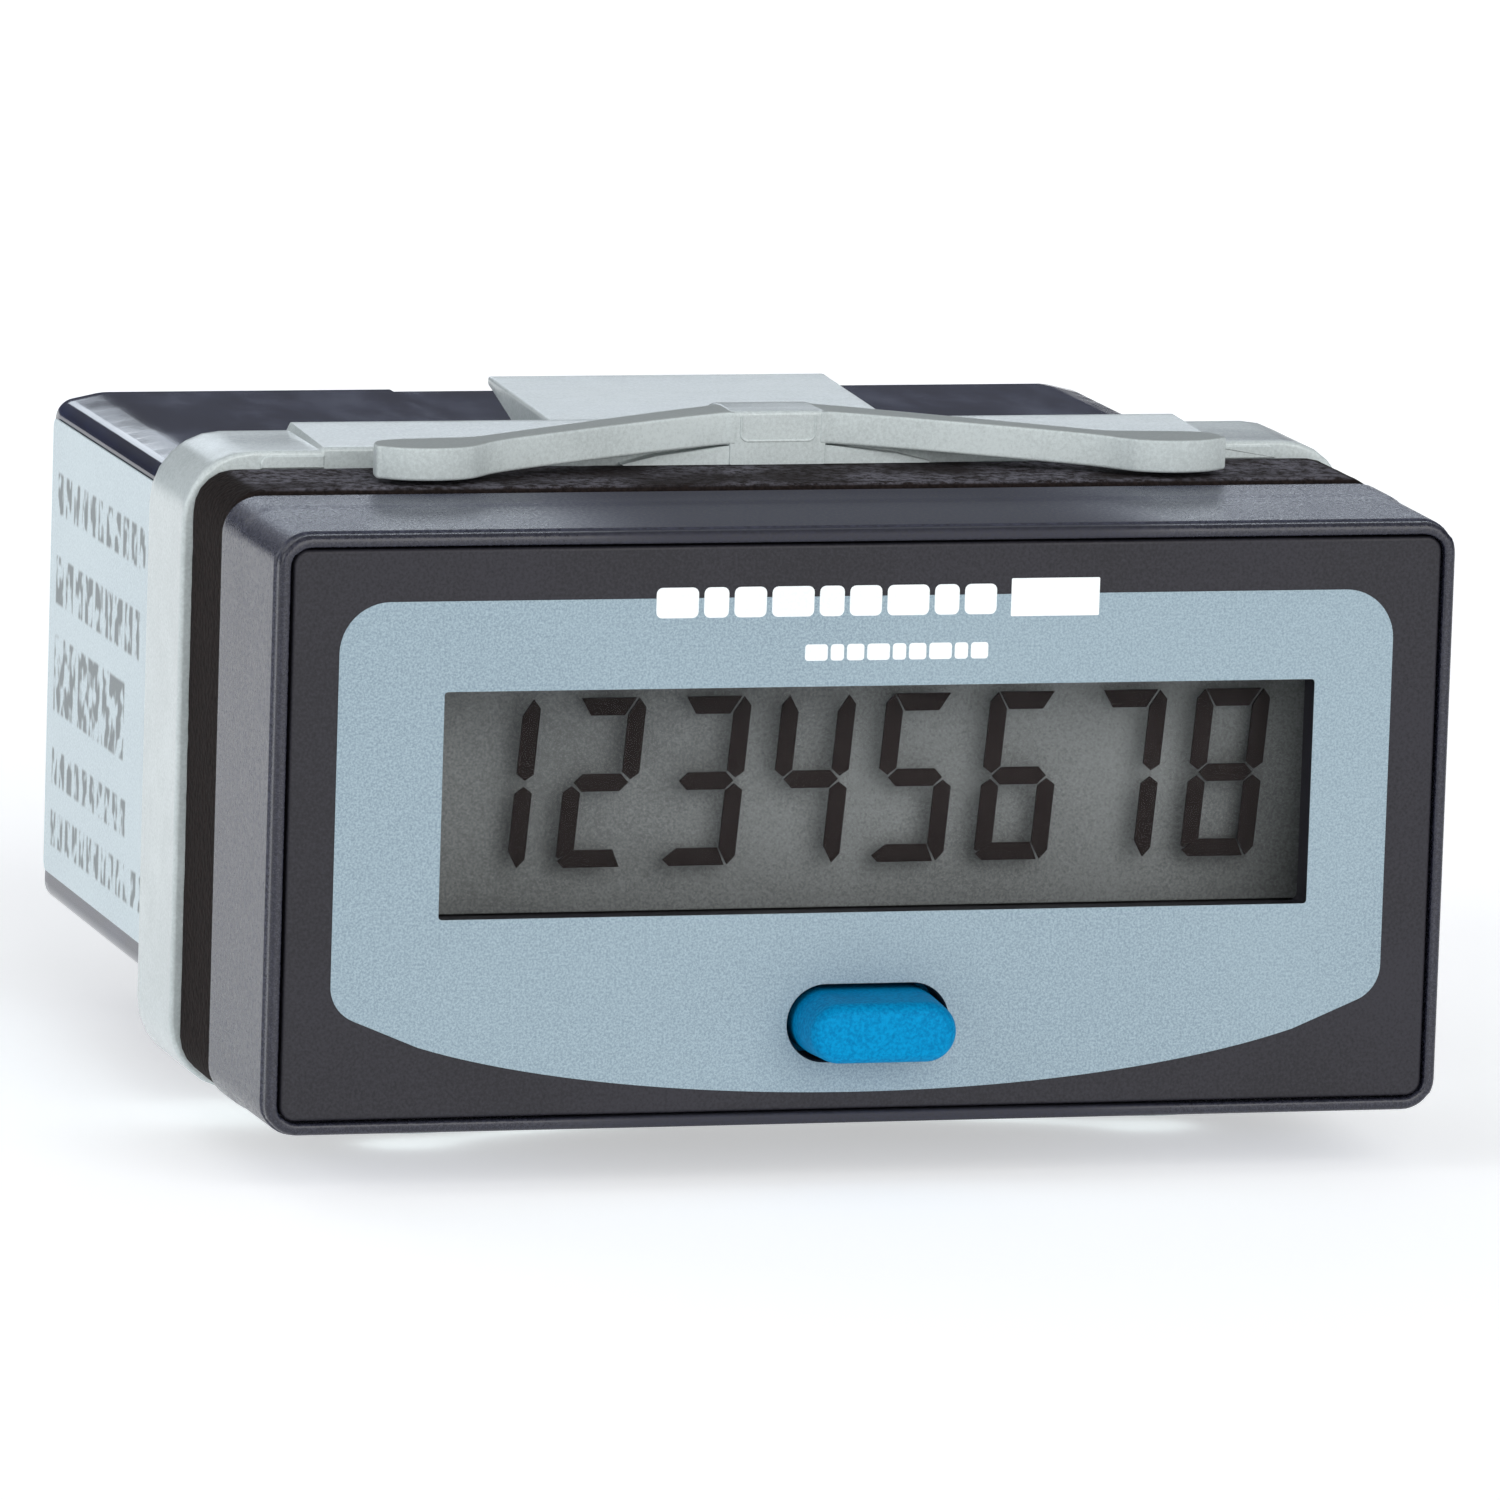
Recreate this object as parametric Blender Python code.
"""Panel-mounted digital counter in a 48 x 24 mm bezel.

Axes: +X to the right seen from the front, +Y to the rear, +Z up.
The origin is the middle of the bezel's rear plane, the one that seats on the
panel. Lengths in the functions are millimetres and become metres in make().
"""

import math

import bmesh
import bpy
from mathutils import Vector
from mathutils.geometry import tessellate_polygon

MM = 0.001

# Bezel and front
BEZEL_W = 48.0
BEZEL_H = 24.0
BEZEL_D = 9.0
LIP = 0.65
PLATE_W = 46.2
PLATE_H = 22.1
PLATE_T = 1.8
PLATE_Y = -8.9
SEAT_Y = -7.0
WINDOW_W = 35.3
WINDOW_H = 8.95
WINDOW_X = 0.53
WINDOW_Z = 1.11
LCD_HALF_W = 19.2
FRONT_GLASS_HALF_H = 6.2
REAR_GLASS_HALF_H = 5.1
LENS_Y = (-7.05, -6.65)
FRONT_GLASS_Y = (-6.6, -5.5)
REAR_GLASS_Y = (-5.45, -4.35)
REFLECTOR_Y = (-4.3, -4.1)
HOLDER_Y = (-6.95, -1.45)
BOARD_Y = (-1.3, -0.3)
KEY_X = 0.35
KEY_HOLE = (6.5, 3.0)
KEY_Z = -7.75
KEY_W = 6.1
KEY_H = 2.6
KEY_TIP_Y = -11.6
KEY_TRAVEL = 0.9

# Case
CASE_W = 44.6
CASE_H = 21.6
CASE_R = 1.0
CASE_WALL = 1.2
SPIGOT_Y = -1.35
CASE_END_Y = 35.6
CHANNEL_HALF = 8.0
CHANNEL_DEPTH = 0.35
RACK_HALF = 4.5
RACK_PITCH = 1.5
RACK_START_Y = 11.8

# Seal and mounting clip
GASKET_W = 47.5
GASKET_H = 24.3
GASKET_Y = (0.1, 5.6)
CLIP_Y = (5.7, 11.5)
CLIP_W = 48.2
CLIP_H = 25.6
CLIP_R = 2.4
PAD_HALF = 18.4
PAD_RISE = 0.1
BLOCK_HALF = 2.2
BLOCK_TOP = 14.3
ARM_ROOT_Z = (13.1, 14.3)
ARM_FOOT_Z = (12.5, 13.7)
ARM_PIVOT = (2.42, 7.2)
TONGUE_HALF = 7.15
TONGUE_Y = (11.65, 23.2)
TONGUE_LOW_Z = 11.2
TONGUE_TOP_Z = (12.85, 13.15)
PAWL_DEPTH = 0.3

# Terminals
POLES = 6
POLE_PITCH = 6.2
BLOCK_W = 38.0
BLOCK_Z = (-7.6, 5.6)
BLOCK_END_Y = 44.0
SCREW_Z = 0.6
SCREW_HEAD_R = 2.75
SCREW_R = 1.45


def clear_scene():
    for ob in list(bpy.data.objects):
        bpy.data.objects.remove(ob, do_unlink=True)


def material(name, rgb, rough=0.5, metallic=0.0, alpha=1.0):
    mat = bpy.data.materials.new(name)
    mat.use_nodes = True
    shader = mat.node_tree.nodes["Principled BSDF"]
    shader.inputs["Base Color"].default_value = (rgb[0], rgb[1], rgb[2], 1.0)
    shader.inputs["Roughness"].default_value = rough
    shader.inputs["Metallic"].default_value = metallic
    shader.inputs["Alpha"].default_value = alpha
    mat.diffuse_color = (rgb[0], rgb[1], rgb[2], alpha)
    return mat


def empty(name, at, parent=None):
    ob = bpy.data.objects.new(name, None)
    bpy.context.collection.objects.link(ob)
    ob.parent = parent
    base = parent.location if parent else Vector((0.0, 0.0, 0.0))
    ob.location = Vector(at) * MM - base
    return ob


def make(name, verts, faces, mat, origin=(0.0, 0.0, 0.0), parent=None, sharp=35.0):
    """Link a closed mesh given in millimetres, with its origin at a point."""
    base = Vector(origin)
    mesh = bpy.data.meshes.new(name)
    mesh.from_pydata([(Vector(v) - base) * MM for v in verts], [], faces)
    bm = bmesh.new()
    bm.from_mesh(mesh)
    bmesh.ops.remove_doubles(bm, verts=bm.verts, dist=1e-7)
    bmesh.ops.recalc_face_normals(bm, faces=bm.faces)
    bm.to_mesh(mesh)
    bm.free()
    for poly in mesh.polygons:
        poly.use_smooth = True
    mesh.set_sharp_from_angle(angle=math.radians(sharp))
    mesh.materials.append(mat)
    ob = bpy.data.objects.new(name, mesh)
    bpy.context.collection.objects.link(ob)
    ob.parent = parent
    held_at = parent.location if parent else Vector((0.0, 0.0, 0.0))
    ob.location = base * MM - held_at
    return ob


def round_rect(w, h, r, n=4, cx=0.0, cz=0.0):
    """Anticlockwise outline of a rounded rectangle, 4 x (n + 1) points."""
    pts = []
    for k, (sx, sz) in enumerate(((1, 1), (-1, 1), (-1, -1), (1, -1))):
        for i in range(n + 1):
            a = math.radians(90.0 * k + 90.0 * i / n)
            pts.append((cx + sx * (w / 2 - r) + r * math.cos(a), cz + sz * (h / 2 - r) + r * math.sin(a)))
    return pts


def at_y(outline, y):
    return [(x, y, z) for x, z in outline]


def loft(loops, closed=False):
    """Skin loops of equal length. Ends are capped unless the loft closes on itself."""
    n = len(loops[0])
    verts = [p for loop in loops for p in loop]
    faces = []
    m = len(loops)
    for j in range(m if closed else m - 1):
        a = j * n
        b = ((j + 1) % m) * n
        for i in range(n):
            k = (i + 1) % n
            faces.append((a + i, a + k, b + k, b + i))
    if not closed:
        faces.append(tuple(range(n)))
        faces.append(tuple(range((m - 1) * n, m * n)))
    return verts, faces


def plate(outline, holes, a, b, axis="y"):
    """A flat plate with holes, between two levels along one axis."""
    rings = [outline] + holes
    flat = [p for ring in rings for p in ring]
    caps = tessellate_polygon([[Vector((x, z, 0.0)) for x, z in ring] for ring in rings])
    total = len(flat)
    places = {
        "x": lambda p, t: (t, p[0], p[1]),
        "y": lambda p, t: (p[0], t, p[1]),
        "z": lambda p, t: (p[0], p[1], t),
    }
    place = places[axis]
    verts = [place(p, a) for p in flat] + [place(p, b) for p in flat]
    faces = [tuple(tri) for tri in caps] + [tuple(i + total for i in tri) for tri in caps]
    start = 0
    for ring in rings:
        n = len(ring)
        for i in range(n):
            k = (i + 1) % n
            faces.append((start + i, start + k, start + k + total, start + i + total))
        start += n
    return verts, faces


def block(x, y, z, edge=0.0):
    """A box, with its long edges along Y chamfered when edge is given."""
    if edge <= 0.0:
        ring = [(x[1], z[1]), (x[0], z[1]), (x[0], z[0]), (x[1], z[0])]
        return loft([at_y(ring, y[0]), at_y(ring, y[1])])
    w = x[1] - x[0]
    h = z[1] - z[0]
    cx = (x[0] + x[1]) / 2
    cz = (z[0] + z[1]) / 2
    full = round_rect(w, h, edge, 1, cx, cz)
    small = round_rect(w - edge, h - edge, edge / 2, 1, cx, cz)
    ends = [at_y(small, y[0]), at_y(full, y[0] + edge / 2), at_y(full, y[1] - edge / 2), at_y(small, y[1])]
    return loft(ends)


def turned(profile, n, axis="y", centre=(0.0, 0.0, 0.0)):
    """A solid of revolution from (radius, distance along the axis) pairs."""
    verts = []
    rings = []
    for r, t in profile:
        if r <= 0.0:
            ring = [len(verts)]
            ang = [0.0]
        else:
            ring = list(range(len(verts), len(verts) + n))
            ang = [2 * math.pi * i / n for i in range(n)]
        for a in ang:
            u = r * math.cos(a)
            v = r * math.sin(a)
            p = {"y": (u, t, v), "x": (t, u, v), "z": (u, v, t)}[axis]
            verts.append((p[0] + centre[0], p[1] + centre[1], p[2] + centre[2]))
        rings.append(ring)
    faces = []
    m = len(rings)
    for j in range(m):
        lo = rings[j]
        hi = rings[(j + 1) % m]
        if len(lo) == 1 and len(hi) == 1:
            continue
        for i in range(n):
            k = (i + 1) % n
            if len(lo) == 1:
                faces.append((lo[0], hi[i], hi[k]))
            elif len(hi) == 1:
                faces.append((lo[i], hi[0], lo[k]))
            else:
                faces.append((lo[i], hi[i], hi[k], lo[k]))
    return verts, faces


def make_bezel(mat):
    def rr(w, h, r, y):
        return at_y(round_rect(w, h, r, 5), y)

    front = -BEZEL_D
    lip_w = BEZEL_W - 2 * LIP
    lip_h = BEZEL_H - 2 * LIP
    bore_w = 42.2
    bore_h = 19.2
    loops = [
        rr(BEZEL_W - 0.66, BEZEL_H - 0.66, 0.95, front),
        rr(BEZEL_W - 0.4, BEZEL_H - 0.4, 1.1, front + 0.08),
        rr(BEZEL_W - 0.3, BEZEL_H - 0.3, 1.15, front + 0.25),
        rr(BEZEL_W - 0.3, BEZEL_H - 0.3, 1.15, front + 0.55),
        rr(BEZEL_W, BEZEL_H, 1.3, front + 0.7),
        rr(BEZEL_W, BEZEL_H, 1.5, -0.55),
        rr(BEZEL_W - 0.12, BEZEL_H - 0.12, 1.45, -0.25),
        rr(BEZEL_W - 0.45, BEZEL_H - 0.45, 1.3, -0.06),
        rr(BEZEL_W - 1.0, BEZEL_H - 1.0, 1.05, 0.0),
        rr(bore_w, bore_h, 0.8, 0.0),
        rr(bore_w, bore_h, 0.8, SEAT_Y),
        rr(lip_w, lip_h, 0.6, SEAT_Y),
        rr(lip_w, lip_h, 0.6, front + 0.15),
        rr(lip_w + 0.2, lip_h + 0.2, 0.68, front),
    ]
    verts, faces = loft(loops, closed=True)
    return make("front_bezel", verts, faces, mat)


def make_front_panel(mat):
    outline = round_rect(PLATE_W, PLATE_H, 0.5, 3)
    window = round_rect(WINDOW_W, WINDOW_H, 0.3, 2, WINDOW_X, WINDOW_Z)
    hole = round_rect(KEY_HOLE[0], KEY_HOLE[1], KEY_HOLE[1] / 2 - 0.01, 6, KEY_X, KEY_Z)
    verts, faces = plate(outline, [window, hole], PLATE_Y, PLATE_Y + PLATE_T)
    return make("front_panel", verts, faces, mat)


def make_key(mat, holder):
    def ring(w, h, y):
        return at_y(round_rect(w, h, h / 2 - 0.01, 6, KEY_X, KEY_Z), y)

    loops = [
        ring(KEY_W - 0.9, KEY_H - 0.9, KEY_TIP_Y),
        ring(KEY_W - 0.5, KEY_H - 0.5, KEY_TIP_Y + 0.07),
        ring(KEY_W - 0.24, KEY_H - 0.24, KEY_TIP_Y + 0.3),
        ring(KEY_W - 0.12, KEY_H - 0.12, KEY_TIP_Y + 0.6),
        ring(KEY_W, KEY_H, PLATE_Y - 0.2),
        ring(KEY_W, KEY_H, -7.0),
        ring(7.5, 2.9, -6.98),
        ring(7.5, 2.9, -6.4),
        ring(2.4, 1.6, -6.38),
        ring(2.4, 1.6, -4.35),
    ]
    verts, faces = loft(loops)
    return make("reset_key", verts, faces, mat, (KEY_X, -7.0, KEY_Z), holder)


def case_outline(depth_channel, depth_rack, inner=None):
    """Case cross-section, or its inner wall with matching points."""
    w = CASE_W / 2 if inner is None else inner[0] / 2
    h = CASE_H / 2 if inner is None else inner[1] / 2
    r = CASE_R if inner is None else inner[2]
    n = 4
    flat = inner is not None
    dc = 0.0 if flat else depth_channel
    dr = 0.0 if flat else depth_rack

    def corner(sx, sz, start):
        out = []
        for i in range(n + 1):
            a = math.radians(start + 90.0 * i / n)
            out.append((sx * (w - r) + r * math.cos(a), sz * (h - r) + r * math.sin(a)))
        return out

    def side(sz):
        step = 0.05
        ks = [CHANNEL_HALF, CHANNEL_HALF - step, RACK_HALF, RACK_HALF - step]
        ds = [0.0, dc, dc, dr]
        half = [(x, sz * (h - d)) for x, d in zip(ks, ds)]
        return half + [(-x, z) for x, z in reversed(half)]

    top = side(1)
    bottom = [(-x, z) for x, z in side(-1)]
    return corner(1, 1, 0) + top + corner(-1, 1, 90) + corner(-1, -1, 180) + bottom + corner(1, -1, 270)


def make_case(mat):
    def outer(y, dc=0.0, dr=0.0, inset=0.0):
        if inset:
            return at_y(case_outline(0, 0, (CASE_W - 2 * inset, CASE_H - 2 * inset, CASE_R)), y)
        return at_y(case_outline(dc, dr), y)

    def inner(w, h, r, y):
        return at_y(case_outline(0, 0, (w, h, r)), y)

    loops = [
        inner(41.96, 18.96, 0.7, SPIGOT_Y),
        inner(41.96, 18.96, 0.7, 0.1),
        outer(0.1, inset=0.15),
        outer(0.25),
        outer(RACK_START_Y - 0.1),
        outer(RACK_START_Y, CHANNEL_DEPTH, CHANNEL_DEPTH),
    ]
    y = RACK_START_Y + 0.4
    while y + RACK_PITCH < CASE_END_Y - 0.6:
        loops.append(outer(y, CHANNEL_DEPTH, CHANNEL_DEPTH))
        loops.append(outer(y + RACK_PITCH - 0.2, CHANNEL_DEPTH, 0.05))
        y += RACK_PITCH
    loops += [
        outer(y, CHANNEL_DEPTH, CHANNEL_DEPTH),
        outer(CASE_END_Y - 0.15, CHANNEL_DEPTH, CHANNEL_DEPTH),
        outer(CASE_END_Y, inset=0.35),
        inner(42.6, 19.6, 0.7, CASE_END_Y),
        inner(42.6, 19.6, 0.7, CASE_END_Y - 1.7),
        inner(42.2, 19.2, 0.7, CASE_END_Y - 1.75),
        inner(42.2, 19.2, 0.7, 0.6),
        inner(40.2, 17.2, 0.5, 0.1),
        inner(40.2, 17.2, 0.5, SPIGOT_Y),
    ]
    verts, faces = loft(loops, closed=True)
    return make("case", verts, faces, mat)


def make_gasket(mat):
    w_in = CASE_W + 0.3
    h_in = CASE_H + 0.3
    y0, y1 = GASKET_Y
    loops = [
        at_y(round_rect(GASKET_W - 0.2, GASKET_H - 0.2, 1.5, 4), y0),
        at_y(round_rect(GASKET_W, GASKET_H, 1.6, 4), y0 + 0.15),
        at_y(round_rect(GASKET_W, GASKET_H, 1.6, 4), y1 - 0.15),
        at_y(round_rect(GASKET_W - 0.2, GASKET_H - 0.2, 1.5, 4), y1),
        at_y(round_rect(w_in, h_in, 1.0, 4), y1),
        at_y(round_rect(w_in, h_in, 1.0, 4), y0),
    ]
    verts, faces = loft(loops, closed=True)
    return make("gasket", verts, faces, mat)


def clip_outline(w, h, r, pad, top):
    """Collar cross-section with raised pads and the middle blocks above and below."""
    n = 5
    hw = w / 2
    hh = h / 2

    def corner(sx, sz, start):
        out = []
        for i in range(n + 1):
            a = math.radians(start + 90.0 * i / n)
            out.append((sx * (hw - r) + r * math.cos(a), sz * (hh - r) + r * math.sin(a)))
        return out

    xs = [PAD_HALF, PAD_HALF - 0.12, BLOCK_HALF + 0.06, BLOCK_HALF - 0.06]
    zs = [hh, hh + pad, hh + pad, top]
    half = list(zip(xs, zs))
    upper = half + [(-x, z) for x, z in reversed(half)]
    lower = [(-x, -z) for x, z in upper]
    return corner(1, 1, 0) + upper + corner(-1, 1, 90) + corner(-1, -1, 180) + lower + corner(1, -1, 270)


def make_clip(mat, holder):
    y0, y1 = CLIP_Y
    h = CLIP_H / 2
    block_end = y0 + 3.3
    loops = [
        at_y(clip_outline(CLIP_W - 0.5, CLIP_H - 0.5, 2.2, PAD_RISE, BLOCK_TOP - 0.12), y0),
        at_y(clip_outline(CLIP_W - 0.1, CLIP_H - 0.1, 2.35, PAD_RISE, BLOCK_TOP), y0 + 0.14),
        at_y(clip_outline(CLIP_W, CLIP_H, CLIP_R, PAD_RISE, BLOCK_TOP), y0 + 0.4),
        at_y(clip_outline(CLIP_W, CLIP_H, CLIP_R, PAD_RISE, BLOCK_TOP), block_end),
        at_y(clip_outline(CLIP_W, CLIP_H, CLIP_R, PAD_RISE, h + 0.35), y1 - 0.3),
        at_y(clip_outline(CLIP_W - 0.4, CLIP_H - 0.4, 2.2, PAD_RISE, h + 0.1), y1),
        at_y(clip_outline(CASE_W + 0.5, CASE_H + 0.4, 1.0, 0.0, CASE_H / 2 + 0.2), y1),
        at_y(clip_outline(CASE_W + 0.5, CASE_H + 0.4, 1.0, 0.0, CASE_H / 2 + 0.2), y0),
    ]
    verts, faces = loft(loops, closed=True)
    return make("clip_collar", verts, faces, mat, (0.0, y0, 0.0), holder)


def arm_outline():
    """Top view of the right-hand arm: a bent leaf with a rounded foot that meets the panel."""
    front = [(2.42, 5.15), (4.2, 4.7), (7.0, 3.85), (9.0, 3.25), (11.0, 2.6), (12.2, 2.15), (13.1, 1.4)]
    foot = []
    for i in range(13):
        a = math.radians(205.0 + 130.0 * i / 12)
        foot.append((15.3 + 2.3 * math.cos(a), 1.85 + 1.5 * math.sin(a)))
    back = [(17.45, 2.1), (16.9, 2.75), (15.6, 3.05), (13.9, 3.2), (12.6, 3.45), (11.0, 4.05), (9.0, 4.8)]
    root = [(7.2, 5.45), (4.4, 6.45), (3.2, 7.1), (2.42, 7.2)]
    return front + foot + back + root


def make_arm(name, side, upper, mat, holder):
    """One spring arm, curving down from its root to its foot."""
    ring = arm_outline()
    n = len(ring)
    edge = 0.12
    slope_x = (ARM_PIVOT[0], 13.1)

    def drop(x):
        t = min(max((x - slope_x[0]) / (slope_x[1] - slope_x[0]), 0.0), 1.0)
        return t * t * (ARM_ROOT_Z[0] - ARM_FOOT_Z[0])

    def level(z, inset):
        out = []
        for i in range(n):
            ax, ay = ring[i - 1]
            bx, by = ring[(i + 1) % n]
            size = math.hypot(bx - ax, by - ay)
            px, py = ring[i]
            out.append((px - (by - ay) / size * inset, py + (bx - ax) / size * inset, z - drop(px)))
        return out

    low, high = ARM_ROOT_Z
    loops = [level(low, edge * 0.8), level(low + edge, 0.0), level(high - edge, 0.0), level(high, edge * 0.8)]
    sign = 1.0 if upper else -1.0
    stack = [[(side * x, y, sign * z) for x, y, z in loop] for loop in loops]
    verts, faces = loft(stack)
    at = (side * ARM_PIVOT[0], ARM_PIVOT[1], sign * (low + high) / 2)
    return make(name, verts, faces, mat, at, holder)


def make_tongue(name, upper, mat, holder):
    """Latch lever: a wedge that rises to a thin finger end, with two pawl teeth under its root."""
    sign = 1.0 if upper else -1.0
    y0, y1 = TONGUE_Y
    low = TONGUE_LOW_Z
    high_0, high_1 = TONGUE_TOP_Z
    e = 0.18

    def top(y):
        return high_0 + (high_1 - high_0) * (y - y0) / (y1 - y0)

    def under(y):
        return max(low, high_1 - 0.35 - (y1 - y) * 0.25)

    stations = [(y0, 0.0)]
    for tooth in (y0 + 0.7, y0 + 2.1):
        stations += [(tooth, 0.0), (tooth + 0.05, PAWL_DEPTH), (tooth + 1.2, 0.0)]
    stations += [(y0 + 5.2, 0.0), (y0 + 8.5, 0.0), (y1 - 0.35, 0.0), (y1, 0.0)]
    stack = []
    for y, pawl in stations:
        hw = TONGUE_HALF
        hi = top(y)
        lo = under(y)
        if y >= y1 - 0.01:
            hw -= 0.25
            hi -= 0.1
            lo += 0.05
        c = min(e, (hi - lo) * 0.3)
        ring = [(hw - c, hi), (-hw + c, hi), (-hw, hi - c), (-hw, lo + c), (-hw + c, lo), (-4.05, lo)]
        ring += [(-4.0, lo - pawl), (4.0, lo - pawl), (4.05, lo), (hw - c, lo), (hw, lo + c), (hw, hi - c)]
        stack.append([(x, y, sign * z) for x, z in ring])
    verts, faces = loft(stack)
    return make(name, verts, faces, mat, (0.0, y0, sign * 12.0), holder)


def make_display(mats):
    cx = WINDOW_X
    cz = WINDOW_Z
    sheets = [
        ("display_window", LENS_Y, FRONT_GLASS_HALF_H - 0.1, "clear"),
        ("lcd_front_glass", FRONT_GLASS_Y, FRONT_GLASS_HALF_H, "glass"),
        ("lcd_rear_glass", REAR_GLASS_Y, REAR_GLASS_HALF_H, "glass"),
        ("lcd_reflector", REFLECTOR_Y, REAR_GLASS_HALF_H, "reflector"),
    ]
    for name, depth, half_h, mat in sheets:
        verts, faces = block((cx - LCD_HALF_W, cx + LCD_HALF_W), depth, (cz - half_h, cz + half_h))
        make(name, verts, faces, mats[mat])
    strip_z = (FRONT_GLASS_HALF_H + REAR_GLASS_HALF_H) / 2
    for name, z in (("zebra_strip_top", cz + strip_z), ("zebra_strip_bottom", cz - strip_z)):
        ends = (REAR_GLASS_Y[0], BOARD_Y[0] - 0.05)
        strip = block((cx - 18.6, cx + 18.6), ends, (z - 0.42, z + 0.42), 0.1)
        make(name, strip[0], strip[1], mats["rubber"])
    left = KEY_X - 4.2
    right = KEY_X + 4.2
    outline = [(20.9, 9.0), (20.5, 9.4), (-20.5, 9.4), (-20.9, 9.0), (-20.9, -9.0), (-20.5, -9.4)]
    outline += [(left, -9.4), (left, -6.1), (right, -6.1), (right, -9.4), (20.5, -9.4), (20.9, -9.0)]
    pocket = round_rect(2 * LCD_HALF_W + 0.3, 2 * FRONT_GLASS_HALF_H + 0.3, 0.1, 1, cx, cz)
    frame = plate(outline, [pocket], *HOLDER_Y)
    make("lcd_holder", frame[0], frame[1], mats["white"])


def make_boards(mats):
    sized = block((-19.9, 19.9), BOARD_Y, (-8.5, 8.5))
    make("display_board", sized[0], sized[1], mats["board"])
    chip = block((-13.5, -6.5), (-0.25, 1.35), (-3.5, 3.5), 0.3)
    make("controller_chip", chip[0], chip[1], mats["chip"])
    can = round_rect(7.6, 3.0, 1.45, 5, 0.6, 5.2)
    crown = round_rect(7.2, 2.6, 1.25, 5, 0.6, 5.2)
    crystal = loft([at_y(can, -0.25), at_y(can, 1.9), at_y(crown, 2.1)])
    make("crystal", crystal[0], crystal[1], mats["steel"])
    for k, x in enumerate((7.5, 14.0)):
        can = [(0.0, -0.25), (1.9, -0.25), (2.0, -0.15), (2.0, 3.6), (1.85, 3.8), (0.0, 3.8)]
        cap = turned(can, 20, "y", (x, 0.0, -0.5))
        make("capacitor_%d" % (k + 1), cap[0], cap[1], mats["foil"])
    back_y = CASE_END_Y - 5.4
    rear = block((-19.9, 19.9), (back_y, back_y + 1.0), (-8.5, 8.5))
    make("terminal_board", rear[0], rear[1], mats["board"])
    link = block((-6.0, 6.0), (-0.25, back_y - 0.05), (-8.4, -8.1))
    make("board_link", link[0], link[1], mats["ribbon"])
    sleeve = [(0.0, -12.5), (6.6, -12.5), (7.0, -12.2), (7.0, 11.2), (6.6, 11.5)]
    nub = [(2.7, 11.5), (2.7, 12.5), (0.0, 12.5)]
    cell = turned(sleeve + nub, 32, "x", (0.0, 16.0, 0.0))
    make("battery", cell[0], cell[1], mats["cell"])
    for name, sx in (("battery_contact_left", -1), ("battery_contact_right", 1)):
        x0 = sx * 12.6
        x1 = sx * 13.0
        xs = (min(x0, x1), max(x0, x1))
        tip = back_y - 0.05
        arm = [(xs[0], 14.0), (xs[1], 14.0), (xs[1], tip), (xs[0], tip)]
        bar = loft([[(x, y, -2.0) for x, y in arm], [(x, y, 2.0) for x, y in arm]])
        make(name, bar[0], bar[1], mats["nickel"])


def make_switch(mats, holder):
    cx = KEY_X
    cz = KEY_Z + 0.35
    well = round_rect(2.2, 1.7, 0.8, 5, cx, cz)
    rim = round_rect(6.0, 2.3, 0.3, 5, cx, cz)
    verts, faces = loft([at_y(well, -1.65), at_y(well, -3.35), at_y(rim, -3.35), at_y(rim, -1.35)])
    make("key_switch_body", verts, faces, mats["chip"])
    pin = loft([at_y(round_rect(1.8, 1.3, 0.64, 5, cx, cz), y) for y in (-4.3, -2.65)])
    make("switch_plunger", pin[0], pin[1], mats["white"], (cx, -4.3, KEY_Z), holder)


def make_rear(mats):
    """Rear cover, terminal block, its tabs, captive washers and screws."""
    z_low, z_high = BLOCK_Z
    cover_hole = round_rect(BLOCK_W + 0.4, z_high - z_low + 0.4, 0.6, 3, 0.0, (z_low + z_high) / 2)
    cover = plate(round_rect(42.4, 19.4, 0.6, 3), [cover_hole], CASE_END_Y - 1.6, CASE_END_Y - 0.2)
    make("rear_cover", cover[0], cover[1], mats["case"])

    hw = BLOCK_W / 2
    first = -(POLES - 1) / 2 * POLE_PITCH
    base_y = CASE_END_Y - 4.0
    floor_y = CASE_END_Y + 2.4
    end_y = BLOCK_END_Y
    outline = [(-hw, base_y), (hw, base_y), (hw, end_y)]
    for k in range(POLES - 1, -1, -1):
        cx = first + k * POLE_PITCH
        half = POLE_PITCH / 2 - 0.55
        outline += [(cx + half, end_y), (cx + half, floor_y), (cx - half, floor_y), (cx - half, end_y)]
    outline.append((-hw, end_y))
    body = plate(outline, [], z_low, z_high, "z")
    ob = make("terminal_block", body[0], body[1], mats["block"])
    for k in range(POLES):
        cx = first + k * POLE_PITCH
        bore = SCREW_R + 0.35
        span = [(0.0, base_y - 1.0), (bore, base_y - 1.0), (bore, floor_y + 1.0), (0.0, floor_y + 1.0)]
        tool = turned(span, 20, "y", (cx, 0.0, SCREW_Z))
        cut = make("cutter_screw_%d" % (k + 1), tool[0], tool[1], mats["block"])
        cut.hide_render = True
        cut.display_type = "WIRE"
        mod = ob.modifiers.new("screw_hole_%d" % (k + 1), "BOOLEAN")
        mod.operation = "DIFFERENCE"
        mod.solver = "EXACT"
        mod.object = cut
        bed = turned_tab(cx, floor_y)
        make("terminal_tab_%d" % (k + 1), bed[0], bed[1], mats["nickel"])
    return first, floor_y


def turned_tab(cx, floor_y):
    """Plated tab under the washer, with a round hole for the screw."""
    outline = round_rect(4.7, 8.0, 0.3, 5, cx, SCREW_Z - 1.0)
    hole = round_rect(2 * SCREW_R + 0.12, 2 * SCREW_R + 0.12, SCREW_R + 0.05, 5, cx, SCREW_Z)
    return plate(outline, [hole], floor_y + 0.05, floor_y + 0.75)


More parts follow.
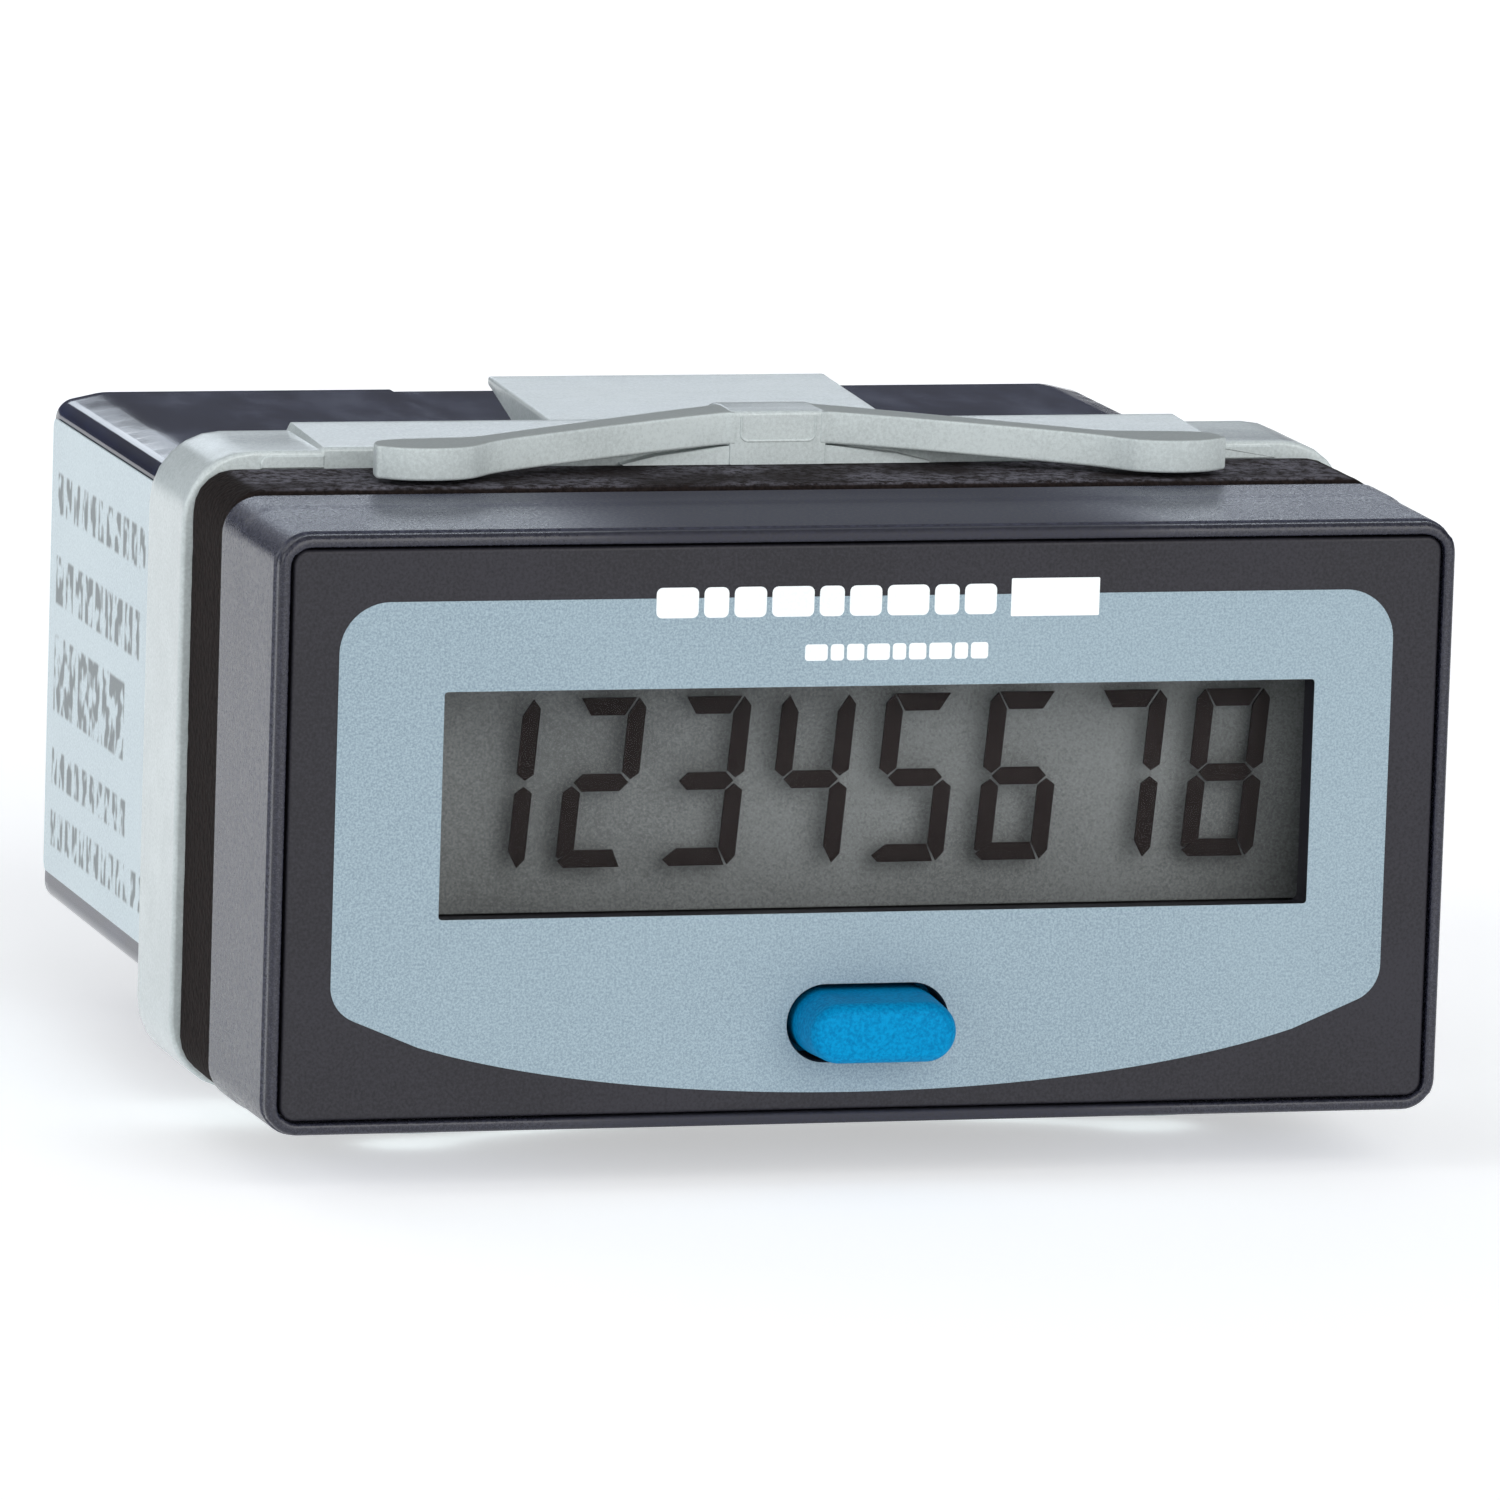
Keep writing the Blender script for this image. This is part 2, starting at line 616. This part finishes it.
def make_terminals(mats, root, first, floor_y):
    for k in range(POLES):
        cx = first + k * POLE_PITCH
        y0 = floor_y + 0.8
        holder = empty("terminal_%d_pivot" % (k + 1), (cx, y0, SCREW_Z), root)
        outline = round_rect(4.6, 5.2, 0.5, 5, cx, SCREW_Z)
        hole = round_rect(2 * SCREW_R + 0.24, 2 * SCREW_R + 0.24, SCREW_R + 0.11, 5, cx, SCREW_Z)
        washer = plate(outline, [hole], y0, y0 + 0.7)
        make("terminal_washer_%d" % (k + 1), washer[0], washer[1], mats["nickel"], (cx, y0, SCREW_Z), holder)
        head = make_screw_shape(y0 + 0.75)
        verts = [(x + cx, y, z + SCREW_Z) for x, y, z in head[0]]
        make("terminal_screw_%d" % (k + 1), verts, head[1], mats["steel"], (cx, y0, SCREW_Z), holder)


def make_screw_shape(y0):
    """Pan-head screw along Y with a slot across its head."""
    n = 24
    r = SCREW_HEAD_R - 0.55
    slot = 0.35
    profile = [(SCREW_R, y0 - 6.3), (SCREW_R, y0), (r, y0), (r, y0 + 1.0), (r - 0.25, y0 + 1.45)]
    verts = []
    rings = []
    for rad, t in profile:
        rings.append(list(range(len(verts), len(verts) + n)))
        for i in range(n):
            a = 2 * math.pi * (i + 0.5) / n
            verts.append((rad * math.cos(a), t, rad * math.sin(a)))
    faces = []
    for lo, hi in zip(rings, rings[1:]):
        for i in range(n):
            k = (i + 1) % n
            faces.append((lo[i], hi[i], hi[k], lo[k]))
    faces.append(tuple(rings[0]))
    y_top = profile[-1][1]
    return cap_slot(verts, faces, rings[-1], slot, y_top, y_top - 0.7, profile[-1][0])


def cap_slot(verts, faces, top, slot, y_top, y_slot, rad):
    """Close the head with a blind slot that stops short of its rim."""
    hx = rad - 0.35
    base = len(verts)
    ring = [(hx, slot), (-hx, slot), (-hx, -slot), (hx, -slot)]
    for x, z in ring:
        verts.append((x, y_top, z))
    for x, z in ring:
        verts.append((x, y_slot, z))
    outer = [Vector((verts[i][0], verts[i][2], 0.0)) for i in top]
    inner = [Vector((x, z, 0.0)) for x, z in ring]
    index = list(top) + [base + i for i in range(4)]
    for tri in tessellate_polygon([outer, inner]):
        faces.append(tuple(index[i] for i in tri))
    for i in range(4):
        k = (i + 1) % 4
        faces.append((base + i, base + k, base + 4 + k, base + 4 + i))
    faces.append(tuple(base + 4 + i for i in range(4)))
    return verts, faces


def make_label(mat):
    x0 = -CASE_W / 2 - 0.12
    y0 = CLIP_Y[1] + 0.4
    y1 = CASE_END_Y - 0.4
    outline = round_rect(y1 - y0, 18.95, 0.4, 2, (y0 + y1) / 2, 0.3)
    verts, faces = plate(outline, [], x0, x0 + 0.08, "x")
    return make("side_label", verts, faces, mat)


def main():
    clear_scene()
    mats = {
        "bezel": material("bezel", (0.045, 0.047, 0.065), 0.5),
        "case": material("case", (0.03, 0.033, 0.06), 0.25),
        "panel": material("panel", (0.05, 0.05, 0.055), 0.5),
        "clear": material("clear", (0.9, 0.92, 0.92), 0.05, 0.0, 0.3),
        "glass": material("lcd_glass", (0.16, 0.16, 0.15), 0.1, 0.0, 0.6),
        "reflector": material("reflector", (0.2, 0.2, 0.18), 0.4),
        "white": material("white_plastic", (0.7, 0.7, 0.68), 0.5),
        "rubber": material("contact_rubber", (0.3, 0.1, 0.08), 0.7),
        "board": material("board", (0.02, 0.12, 0.05), 0.5),
        "chip": material("chip", (0.01, 0.01, 0.01), 0.6),
        "steel": material("screw_steel", (0.6, 0.6, 0.6), 0.3, 1.0),
        "nickel": material("plated_tab", (0.65, 0.62, 0.55), 0.3, 1.0),
        "foil": material("capacitor_sleeve", (0.02, 0.03, 0.08), 0.4),
        "ribbon": material("ribbon", (0.5, 0.5, 0.48), 0.6),
        "cell": material("cell_sleeve", (0.05, 0.2, 0.35), 0.4),
        "gasket": material("seal_foam", (0.035, 0.03, 0.03), 0.9),
        "clip": material("clip_plastic", (0.5, 0.56, 0.57), 0.4),
        "key": material("key_plastic", (0.02, 0.28, 0.6), 0.4),
        "label": material("label", (0.6, 0.7, 0.75), 0.5),
        "block": material("block_plastic", (0.02, 0.02, 0.022), 0.5),
    }
    root = empty("counter_root", (0.0, 0.0, 0.0))
    make_bezel(mats["bezel"])
    make_front_panel(mats["panel"])
    make_case(mats["case"])
    make_gasket(mats["gasket"])
    make_label(mats["label"])
    make_display(mats)
    make_boards(mats)

    key_holder = empty("key_pivot", (KEY_X, -7.0, KEY_Z), root)
    make_key(mats["key"], key_holder)
    make_switch(mats, key_holder)

    clip_holder = empty("clip_pivot", (0.0, CLIP_Y[0], 0.0), root)
    make_clip(mats["clip"], clip_holder)
    for upper in (True, False):
        level = "top" if upper else "bottom"
        for side in (-1, 1):
            where = "left" if side < 0 else "right"
            make_arm("clip_arm_%s_%s" % (level, where), side, upper, mats["clip"], clip_holder)
        make_tongue("latch_tongue_%s" % level, upper, mats["clip"], clip_holder)

    first, floor_y = make_rear(mats)
    make_terminals(mats, root, first, floor_y)


main()
